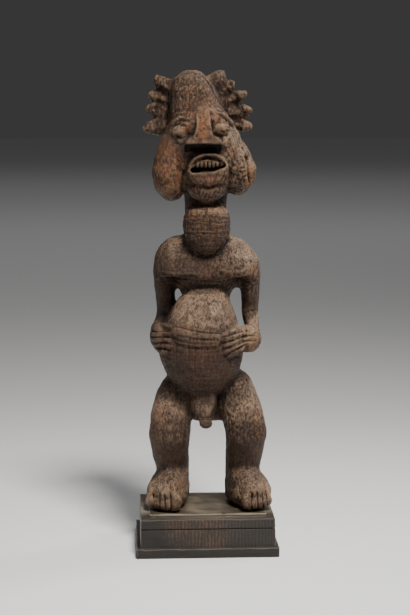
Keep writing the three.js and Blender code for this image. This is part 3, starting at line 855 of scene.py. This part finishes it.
def deep_work(mesh):
    """The cracks, folds and deep hollows."""
    skin = Skin(mesh)
    for places, width, depth, back in DEEP_CUTS:
        skin.stroke(places, width, depth, back)
    for place, radius, depth in DEEP_DENTS:
        skin.dent(place, radius, depth)
    skin.done(mesh)


# Fine cuts and ridges: line on the front as (x, z), half-width and depth
FINE_CUTS = [
    # eyes and brows
    ([(-56, 751), (-47, 747), (-36, 752)], 2.0, 2.0),
    ([(-58, 741), (-48, 736), (-39, 740)], 2.2, 1.6),
    ([(-55, 766), (-46, 770), (-36, 768)], 1.8, 1.4),
    ([(10, 756), (17, 751), (27, 750), (37, 753)], 1.8, 1.8),
    ([(11, 769), (18, 774), (27, 775), (36, 772)], 1.8, 1.4),
    ([(22, 764), (30, 768), (38, 765)], 1.3, 0.9),
    ([(22, 761), (30, 757), (38, 761)], 1.3, 0.9),
    ([(8, 800), (24, 795), (42, 778), (54, 756), (62, 738), (70, 716)], 3.2, -2.2),
    ([(-57, 788), (-43, 792), (-27, 791)], 3.6, -1.4),
    ([(-18, 790), (-17, 766), (-22, 753)], 2.4, -1.6),
    ([(3, 788), (4, 768), (10, 753)], 2.4, -1.6),
    ([(64, 718), (67, 701), (69, 684), (72, 666)], 1.9, -1.6),
    # mouth and cheeks
    ([(30, 729), (40, 716), (46, 702)], 2.0, 1.0),
    ([(-16, 680), (-12, 670)], 1.4, 0.8),
    ([(-6, 680), (-4, 666)], 1.4, 0.8),
    ([(4, 680), (4, 665)], 1.4, 0.8),
    ([(13, 681), (11, 670)], 1.4, 0.8),
    ([(56, 697), (64, 696), (70, 697)], 1.3, 0.6),
    ([(54, 690), (63, 689), (71, 690)], 1.3, 0.7),
    ([(50, 682), (60, 681), (72, 682)], 1.3, 0.6),
    ([(52, 675), (62, 674), (72, 674)], 1.3, 0.7),
    # chest
    ([(-83, 511), (-66, 510), (-43, 508), (-20, 510)], 2.2, -1.6),
    ([(-80, 505), (-60, 504), (-40, 502)], 1.6, 1.2),
    ([(-60, 492), (-40, 484), (-30, 474)], 2.2, 1.4),
    ([(-84, 498), (-62, 499), (-36, 496), (-12, 500)], 1.8, 1.6),
    ([(-74, 490), (-56, 488), (-42, 478)], 1.8, -1.4),
    ([(20, 516), (44, 510), (70, 512)], 2.4, -1.2),
    # hands, the band between them and its lines
    ([(-67, 416), (-50, 415), (-28, 411), (-10, 408), (9, 406), (25, 404)], 1.9, 1.5),
    ([(-60, 402), (-40, 400), (-20, 397.5), (0, 396), (21, 397)], 1.8, 1.3),
    ([(-63, 391), (-44, 388), (-20, 386), (3, 385), (20, 385)], 1.8, -1.6),
    ([(-60, 384), (-40, 381), (-18, 379), (4, 378), (22, 379)], 2.0, 0.8),
    ([(-106, 403), (-97, 404), (-84, 405), (-66, 407)], 1.7, 2.2),
    ([(-108, 393), (-98, 394), (-84, 395), (-66, 396)], 1.7, 2.2),
    ([(-108, 382), (-97, 383), (-84, 385), (-68, 386)], 1.7, 2.2),
    ([(-104, 372), (-94, 373), (-84, 375), (-70, 375)], 1.7, 2.0),
    ([(24, 398), (45, 402), (70, 406), (86, 407)], 1.7, 2.2),
    ([(22, 387), (45, 391), (70, 397), (88, 398)], 1.7, 2.2),
    ([(28, 376), (46, 381), (70, 388), (84, 389)], 1.7, 2.0),
    ([(31, 367), (48, 373), (68, 380)], 1.7, 1.8),
    # toes
    ([(-98, 106), (-97, 76)], 1.5, 3.8),
    ([(-87, 108), (-86, 76)], 1.5, 3.8),
    ([(-77, 108), (-76, 76)], 1.5, 3.8),
    ([(-66, 108), (-66, 76)], 1.6, 4.2),
    ([(-91, 118), (-94, 106)], 1.2, 0.8),
    ([(-74, 120), (-75, 108)], 1.2, 0.8),
    ([(81, 110), (81, 76)], 1.6, 4.2),
    ([(92, 108), (93, 76)], 1.5, 3.8),
    ([(101, 108), (103, 76)], 1.5, 3.8),
    ([(109, 110), (112, 78)], 1.5, 3.8),
    ([(76, 106), (75, 84)], 1.2, 1.2),
    ([(46, 124), (50, 92)], 1.3, 1.2),
    ([(51, 126), (56, 94)], 1.3, 1.0),
    ([(57, 122), (61, 100)], 1.3, 0.8),
]
# Small hollows and bumps: place, radius and depth. The first nine are the notches along the band.
FINE_DENTS = [((-32 + 6.1 * i, 396 - 0.25 * i), 2.2, 2.6) for i in range(9)] + [
    ((34, 761), 2.2, 2.4),
    ((29, 763), 3.0, -0.8),
    ((-10, 448), 6.0, -1.0),
    ((-14, 746), 4.0, 1.5),
]


def fine_work(mesh):
    """The lines of eyes, mouth, band, fingers and toes."""
    skin = Skin(mesh)
    for places, width, depth in FINE_CUTS:
        skin.stroke(places, width, depth)
    for place, radius, depth in FINE_DENTS:
        skin.dent(place, radius, depth)
    skin.done(mesh)


def noise_at(points, scale, seed, octaves=2):
    """Soft noise between about -1 and 1, at a scale in waves to the millimetre for each axis."""
    offset = Vector((seed * 17.3, seed * 5.1, seed * 9.7))
    shrunk = points * np.array(scale)
    return np.array([noise.fractal(Vector(p) + offset, 0.6, 2.1, octaves) for p in shrunk.tolist()])


# How rough the crust lies: middle, half-size and strength of each egg
ROUGH_PLACES = [
    ((62, -30, 530), (44, 60, 44), 1.8),
    ((-56, -30, 532), (44, 60, 40), 0.8),
    ((0, -50, 512), (54, 40, 22), 0.8),
    ((56, -50, 710), (34, 40, 56), 1.3),
    ((-70, -30, 112), (50, 60, 34), 0.8),
    ((82, -30, 112), (50, 60, 34), 0.8),
    ((-96, 10, 806), (34, 44, 66), 1.0),
    ((62, 10, 816), (44, 44, 70), 1.0),
    ((-62, -50, 680), (34, 40, 34), 0.8),
    ((0, -50, 595), (46, 34, 44), 1.0),
    ((-8, -60, 455), (60, 60, 44), 0.6),
    ((70, -50, 262), (40, 40, 46), 1.3),
    ((-60, -50, 262), (40, 40, 46), 0.6),
    ((-10, -50, 820), (50, 50, 46), 0.7),
    ((76, -50, 400), (34, 50, 34), 1.1),
    ((0, -70, 652), (40, 30, 16), 0.8),
]


# Marks of tools, age and weather, as noise: waves to the millimetre along each axis, and seed
FACETS = ((0.045, 0.045, 0.03), 3)
SCOOPS = ((0.085, 0.085, 0.055), 21)
LUMPS_OF_CRUST = ((0.14, 0.14, 0.08), 5)
GRIT = ((0.24, 0.24, 0.15), 9)
LONG_FIBRES = ((0.23, 0.23, 0.04), 7)
SAW_COURSES = ((0.04, 0.04, 0.23), 13)
# Where fibres or courses show: middle and half-size of each egg
BELLY = ((-8, -60, 335), (90, 90, 50))
SHINS = ((0, -30, 175), (130, 70, 50))
THROAT = ((0, -50, 590), (50, 50, 46))


def places(points, listed, soft=0.6):
    """The strongest of the listed eggs at every point."""
    total = np.zeros(len(points))
    for at, size, strength in listed:
        total = np.maximum(total, strength * near(points, at, size, soft))
    return total


def tool_marks(points):
    """Adze facets, lumpy crust, long fibres down the log and saw-like lines across the belly."""
    rough = 0.4 + 0.8 * places(points, ROUGH_PLACES)
    facets = noise_at(points, *FACETS)
    scoops = 0.35 - np.abs(noise_at(points, *SCOOPS))
    lumps = noise_at(points, *LUMPS_OF_CRUST)
    grit = noise_at(points, *GRIT)
    belly = near(points, *BELLY)
    down = (0.15 + 0.7 * belly + 0.35 * near(points, *SHINS)) * noise_at(points, *LONG_FIBRES)
    across = (0.7 * belly + 1.0 * near(points, *THROAT)) * noise_at(points, *SAW_COURSES)
    return 0.8 * facets + rough * (1.2 * scoops + 0.45 * lumps + 0.55 * grit) + down + across


def worm_holes(points, seed=11):
    """Small round flight holes and rot pits, scattered over the whole log."""
    dice = random.Random(seed)
    move = np.zeros(len(points))
    for _ in range(HOLE_COUNT):
        at = points[dice.randrange(len(points))]
        radius = dice.uniform(*HOLE_RADIUS)
        gap = np.abs(points - at).max(axis=1)
        close = np.where(gap < 3 * radius)[0]
        reach = np.linalg.norm(points[close] - at, axis=1)
        move[close] -= dice.uniform(*HOLE_DEPTH) * np.exp(-((reach / radius) ** 2))
    return move


def weather(mesh):
    """Wears the whole skin and keeps the soles flat on the plate."""
    points = points_of(mesh)
    move = tool_marks(points) + worm_holes(points)
    points = points + normals_of(mesh) * move[:, None]
    points[:, 2] = np.maximum(points[:, 2], SOLE_HEIGHT)
    put_points(mesh, points)


def triangles_in(mesh):
    """How many triangles the faces of a mesh make."""
    return sum(len(p.vertices) - 2 for p in mesh.polygons)


def with_teeth(mesh):
    """Adds the row of peg teeth, each a separate small egg rooted in the gum."""
    bm = bmesh.new()
    bm.from_mesh(mesh)
    first, last = TOOTH_ENDS
    for i in range(TOOTH_COUNT):
        share = 2 * i / (TOOTH_COUNT - 1) - 1
        x = first + (last - first) * (share + 1) / 2
        y = TOOTH_FRONT + TOOTH_SET_BACK * share**2
        z = TOOTH_MIDDLE + TOOTH_RISE * share**2 + TOOTH_TILT * share
        egg(bm, (x, y, z), TOOTH_SIZE, lean=TOOTH_LEAN * share, detail=2)
    bm.to_mesh(mesh)
    bm.free()
    return mesh


def carved_figure():
    """The figure in the order of the work: roughed out, smoothed, cut deep, cut fine, worn."""
    mesh = through_modifier(rough_figure(), "REMESH", mode="VOXEL", voxel_size=ROUGH_VOXEL)
    fair_figure(mesh)
    undercut_nose(mesh)
    deep_work(mesh)
    mesh = through_modifier(mesh, "REMESH", mode="VOXEL", voxel_size=FINE_VOXEL)
    put_points(mesh, Neighbours(mesh).faired(points_of(mesh), rounds=4))
    fine_work(mesh)
    weather(mesh)
    count = triangles_in(mesh)
    if count > FIGURE_TRIANGLES:
        mesh = through_modifier(mesh, "DECIMATE", ratio=FIGURE_TRIANGLES / count)
    mesh = with_teeth(mesh)
    for polygon in mesh.polygons:
        polygon.use_smooth = True
    return mesh


figure_mesh = carved_figure()
figure_mesh.name = "carved_figure"
figure = bpy.data.objects.new("carved_figure", figure_mesh)
bpy.context.scene.collection.objects.link(figure)

# Rubbed places, places of painted shade, and places of crust and painted highlight: middle, half-size and
# strength of each egg
WARM_PLACES = [
    ((-70, -55, 690), (26, 40, 34), 1.0),
    ((-12, -60, 815), (30, 30, 26), 0.5),
    ((-8, -86, 766), (8, 20, 22), 0.9),
    ((-34, -60, 767), (9, 14, 9), 0.8),
    ((0, -60, 596), (44, 30, 36), 0.8),
    ((50, -50, 508), (54, 40, 12), 0.8),
    ((-15, -95, 370), (26, 20, 14), 0.8),
    ((90, -30, 378), (20, 50, 26), 0.8),
    ((104, -30, 215), (22, 40, 40), 0.9),
    ((-104, -30, 235), (18, 40, 24), 0.6),
    ((0, -90, 668), (26, 16, 12), 0.5),
    ((82, -40, 680), (12, 30, 24), 0.9),
    ((-110, -20, 90), (14, 40, 22), 0.6),
    ((-52, -70, 88), (22, 20, 14), 0.6),
    ((92, -60, 88), (34, 20, 14), 0.5),
    ((3, -64, 788), (8, 14, 8), 0.9),
    ((-6, -90, 345), (62, 50, 28), 0.45),
]
# painted shade: under nose, chin, goitre, chest, belly and toes, on knees and shins, in the crotch, beside
# the hair and down the left side away from the light
PAINTED_SHADE_PLACES = [
    ((0, -50, 518), (54, 40, 24), 0.85),
    ((0, -40, 488), (90, 40, 14), 0.7),
    ((-79, -66, 85), (40, 24, 15), 0.7),
    ((91, -66, 85), (40, 24, 15), 0.8),
    ((0, -60, 648), (42, 30, 16), 0.5),
    ((-60, -50, 690), (30, 40, 44), 0.2),
    ((-88, -50, 392), (30, 50, 34), 0.45),
    ((-2, -66, 238), (14, 16, 10), 0.95),
    ((0, -55, 552), (40, 30, 22), 1.0),
    ((0, -55, 585), (48, 40, 20), 0.35),
    ((0, -30, 640), (60, 30, 20), 0.5),
    ((-8, -50, 298), (72, 60, 22), 0.85),
    ((-8, -80, 335), (80, 50, 42), 0.85),
    ((-8, -60, 836), (44, 40, 26), 0.35),
    ((-66, -40, 172), (40, 40, 36), 0.7),
    ((76, -40, 172), (40, 40, 38), 0.7),
    ((-66, -50, 212), (40, 30, 24), 0.6),
    ((76, -50, 212), (40, 30, 24), 0.9),
    ((-8, -78, 731), (36, 24, 8), 1.0),
    ((-76, 0, 480), (20, 60, 60), 1.0),
    ((80, 0, 490), (20, 60, 40), 0.3),
    ((-92, 10, 806), (40, 44, 64), 0.55),
    ((62, 10, 816), (44, 44, 66), 0.45),
    ((-44, -20, 735), (30, 30, 60), 0.15),
    ((20, -15, 830), (12, 24, 14), 0.7),
    ((34, -15, 806), (12, 24, 14), 0.7),
    ((48, -10, 785), (12, 24, 14), 0.7),
    ((-62, -10, 830), (8, 24, 30), 0.7),
    ((0, -60, 580), (48, 34, 30), 0.85),
    ((-15, -90, 400), (62, 30, 14), 0.35),
    ((70, -60, 222), (40, 40, 22), 0.35),
    ((0, -60, 500), (60, 40, 16), 0.4),
    ((17, -50, 256), (9, 30, 18), 0.9),
    ((-28, -50, 262), (7, 30, 22), 0.6),
]
# crust, with painted highlights on the lit right side (shoulder, hand, cheek) and on the eyes
CRUST_AND_HIGHLIGHT_PLACES = [
    ((-4, -60, 458), (56, 50, 36), 1.25),
    ((0, -66, 264), (22, 30, 26), 1.9),
    ((84, -46, 398), (34, 42, 26), 1.0),
    ((-46, -30, 545), (56, 50, 30), 0.5),
    ((66, -30, 540), (46, 50, 34), 1.1),
    ((-60, -40, 272), (44, 44, 36), 0.9),
    ((70, -40, 272), (44, 44, 36), 1.0),
    ((-70, -30, 118), (46, 60, 34), 1.25),
    ((82, -30, 118), (46, 60, 34), 1.25),
    ((60, -50, 725), (40, 40, 50), 0.7),
    ((-47, -66, 762), (12, 16, 10), 0.6),
    ((24, -66, 765), (14, 16, 10), 0.6),
    ((0, -40, 624), (44, 30, 10), 0.8),
    ((86, -20, 410), (30, 40, 20), 0.9),
]


def store(mesh, name, values):
    """Keeps a value between 0 and 1 at every point of the mesh."""
    attribute = mesh.attributes.new(name, "FLOAT", "POINT")
    attribute.data.foreach_set("value", np.clip(values, 0, 1).astype(np.float32))


def mark_surface(mesh):
    """Stores on the mesh where it is hollow, facing up, warm with rubbing, dark with painted shade, and
    pale with crust and painted highlight.
    """
    links = Neighbours(mesh)
    points = points_of(mesh)
    normals = normals_of(mesh)
    # pit and hollow measure small and large hollows, darkened in the material with dirt and painted shade
    small = ((links.blurred(points, rounds=3) - points) * normals).sum(1)
    large = ((links.blurred(points, rounds=40) - points) * normals).sum(1)
    store(mesh, "pit", 0.5 + 1.1 * small)
    store(mesh, "hollow", 0.5 + 0.14 * large)
    store(mesh, "upward", 0.5 + 0.5 * links.blurred(normals[:, 2], rounds=6))
    store(mesh, "warm", places(points, WARM_PLACES))
    # dark holds the painted shade
    store(mesh, "dark", places(points, PAINTED_SHADE_PLACES))
    # pale holds crust and painted highlights
    store(mesh, "pale", places(points, CRUST_AND_HIGHLIGHT_PLACES))
    store(mesh, "crusty", places(points, ROUGH_PLACES))


mark_surface(figure_mesh)


def carved_wood():
    """Old oiled hardwood: dark with dirt and painted shade in the cuts and hollows, orange where it is
    rubbed, greyish where crust lies on top; painted shade under overhangs and on the side away from the
    light, painted highlights and glints on the lit places.
    """
    material, tree, shader = new_material("carved_wood", Specular_IOR_Level=0.34)
    place = node(tree, "ShaderNodeTexCoord").outputs["Object"]
    names = ("pit", "hollow", "upward", "warm", "dark", "pale", "crusty")
    pit, hollow, upward, warm, dark, pale, crusty = (marked(tree, name) for name in names)
    upright = node(tree, "ShaderNodeMapping", {"Vector": place, "Rotation": (0, math.pi / 2, 0)})
    links = {"Vector": upright.outputs[0], "Length": 30, "Fineness": 420}
    grain = node(tree, "ShaderNodeGroup", links, node_tree=wood_grain)
    fibres = grain.outputs["Fibres"]
    drawn = stretched(tree, place, 1, 1, 0.5)
    speckle = clouds(tree, drawn, scale=400, detail=5, roughness=0.72, distortion=0.4)
    mottle = clouds(tree, drawn, scale=85, detail=9, roughness=0.72, distortion=0.7)
    broad = clouds(tree, place, scale=16, detail=4, roughness=0.6)
    level = stretched(tree, place, 0.3, 0.3, 1.6)
    woven = clouds(tree, level, scale=330, detail=3, roughness=0.6)

    # heartwood in bands, orange where hands rubbed it
    base = mixed(tree, ramp(tree, grain.outputs["Bands"], 0.3, 0.7), HEARTWOOD_DARK, HEARTWOOD_LIGHT)
    base = mixed(tree, ramp(tree, mottle, 0.42, 0.70), base, HEARTWOOD_PALE)
    rubbed = times(tree, warm, ramp(tree, mottle, 0.36, 0.62))
    rubbed = larger(tree, rubbed, times(tree, ramp(tree, broad, 0.52, 0.70), 0.5))
    base = mixed(tree, times(tree, rubbed, 0.8), base, RUBBED_ORANGE)

    # pale crust on what faces up; in the pale places also painted highlights on the lit right side and on
    # the eyes
    grains = sloped(tree, ramp(tree, speckle, 0.38, 0.62), 0.9, 0.1)
    crust = times(tree, pale, ramp(tree, mottle, 0.3, 0.66))
    crust = times(tree, times(tree, crust, grains), ramp(tree, upward, 0.3, 0.8))
    everywhere = times(tree, ramp(tree, upward, 0.6, 0.95), ramp(tree, broad, 0.4, 0.7))
    crust = larger(tree, crust, times(tree, everywhere, 0.35))
    base = mixed(tree, times(tree, crust, 0.87), base, CRUST_AND_HIGHLIGHT)

    # painted shade in black-brown under overhangs, in creases and on the side away from the light (the
    # dark places), with pits and a crossed, woven texture that is darkest in the painted shade
    base = mixed(tree, times(tree, dark, 0.8), base, mixed(tree, mottle, SHADE_BLACK, SHADE_BROWN))
    pits = times(tree, ramp(tree, speckle, 0.46, 0.32), sloped(tree, crusty, 0.45, 0.3))
    base = mixed(tree, pits, base, PIT_BLACK)
    crossed = times(tree, ramp(tree, woven, 0.56, 0.40), ramp(tree, fibres, 0.62, 0.42))
    base = mixed(tree, times(tree, crossed, times(tree, dark, 0.7)), base, WEAVE_BLACK)

    # dirt and painted shade in the cuts and hollows, light worn ridges with painted glints
    low = larger(tree, times(tree, ramp(tree, pit, 0.56, 1.0), 0.85), ramp(tree, hollow, 0.6, 0.95))
    base = mixed(tree, times(tree, low, 0.85), base, CUT_DIRT_AND_HOLLOW_SHADE)
    # tops of the small bumps lightened as wear and as painted glints
    proud_wear_and_glint = times(tree, ramp(tree, pit, 0.45, 0.15), sloped(tree, crusty, 0.35, 0.3))
    proud_wear_and_glint = times(tree, proud_wear_and_glint, sloped(tree, dark, -0.75, 1.0))
    base = mixed(tree, proud_wear_and_glint, base, WORN_TOP_AND_GLINT)

    # worn ridges shine, cuts stay dull
    rough = mixed(tree, ramp(tree, mottle, 0.35, 0.7), (0.46,) * 3, (0.68,) * 3)
    rough = mixed(tree, times(tree, proud_wear_and_glint, 2.0), rough, (0.22,) * 3)
    rough = mixed(tree, low, rough, (0.8,) * 3)
    height = plus(tree, times(tree, speckle, 0.8), times(tree, mottle, 2.0))
    height = plus(tree, height, times(tree, fibres, 0.5))
    height = plus(tree, height, times(tree, woven, times(tree, dark, 0.9)))
    finish(tree, shader, base, rough, height, strength=0.95, distance=2.8 * MM)
    return material


figure_mesh.materials.clear()
figure_mesh.materials.append(carved_wood())
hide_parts("figure")
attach(figure, "root")

# Studio. A wide pale floor. One soft light stands high in front, a weak one fills from the left, one
# behind on the right draws the edges, two hang over the floor far behind, and a faint even light
# lies over all. The camera stands at the height of the figure's brow and looks slightly down.

FLOOR_HALF = 40
FLOOR_GREY = 0.8
WARM_LIGHT = (1, 0.975, 0.94)
COOL_LIGHT = (0.95, 0.97, 1)
AIR_GREY = 0.5
AIR_STRENGTH = 0.09
AZIMUTH = math.radians(-2.9)
PITCH = math.radians(7.5)
DISTANCE = 2.73
TARGET = Vector((-0.001, 0, 0.44))
PICTURE_HEIGHT = 615
FOCAL_PIXELS = 1500
SENSOR = 36

floor_bm = bmesh.new()
bmesh.ops.create_grid(floor_bm, x_segments=2, y_segments=2, size=FLOOR_HALF)
floor = piece_from(floor_bm, "floor")
paper, _, paper_shader = new_material("pale_floor", Roughness=0.9, Specular_IOR_Level=0.1)
paper_shader.inputs["Base Color"].default_value = (FLOOR_GREY, FLOOR_GREY, FLOOR_GREY, 1)
floor.data.materials.append(paper)


def soft_light(name, at, aim, size, watts, colour=(1, 1, 1), spread=180):
    """A flat rectangular light that faces a place. spread is the angle of its beam in degrees."""
    data = bpy.data.lights.new(name, "AREA")
    data.spread = math.radians(spread)
    data.shape = "RECTANGLE"
    data.size, data.size_y = size
    data.energy = watts
    data.color = colour
    lamp = bpy.data.objects.new(name, data)
    lamp.location = at
    lamp.rotation_euler = (Vector(aim) - Vector(at)).to_track_quat("-Z", "Y").to_euler()
    bpy.context.scene.collection.objects.link(lamp)


soft_light("key", (0.6, -1.7, 3.3), (0, -0.3, 0), (0.75, 0.75), 55.5, WARM_LIGHT, spread=90)
soft_light("fill", (-1.8, -1.8, 1.0), (0, 0, 0.45), (1.2, 1.6), 3.0, COOL_LIGHT)
soft_light("back", (1.9, 0.8, 1.7), (0, 0, 0.5), (0.5, 0.9), 2.8, spread=60)
soft_light("middle_floor", (0, 5.5, 4), (0, 5.5, 0), (8, 5), 40)
soft_light("far_floor", (0, 11, 6), (0, 11, 0), (12, 8), 45)
haze = bpy.data.lights.new("haze", "SUN")
haze.energy = 0.05
haze.angle = 1.5
bpy.context.scene.collection.objects.link(bpy.data.objects.new("haze", haze))

world = bpy.data.worlds.new("studio")
world.use_nodes = True
air = world.node_tree.nodes["Background"]
air.inputs["Color"].default_value = (AIR_GREY, AIR_GREY, AIR_GREY, 1)
air.inputs["Strength"].default_value = AIR_STRENGTH
bpy.context.scene.world = world

level = math.cos(PITCH)
towards_camera = Vector((math.sin(AZIMUTH) * level, -math.cos(AZIMUTH) * level, math.sin(PITCH)))
camera_data = bpy.data.cameras.new("camera")
camera_data.lens = FOCAL_PIXELS / PICTURE_HEIGHT * SENSOR
camera_data.sensor_width = SENSOR
camera = bpy.data.objects.new("camera", camera_data)
camera.location = TARGET + towards_camera * DISTANCE
camera.rotation_euler = (-towards_camera).to_track_quat("-Z", "Y").to_euler()
bpy.context.scene.collection.objects.link(camera)
bpy.context.scene.camera = camera
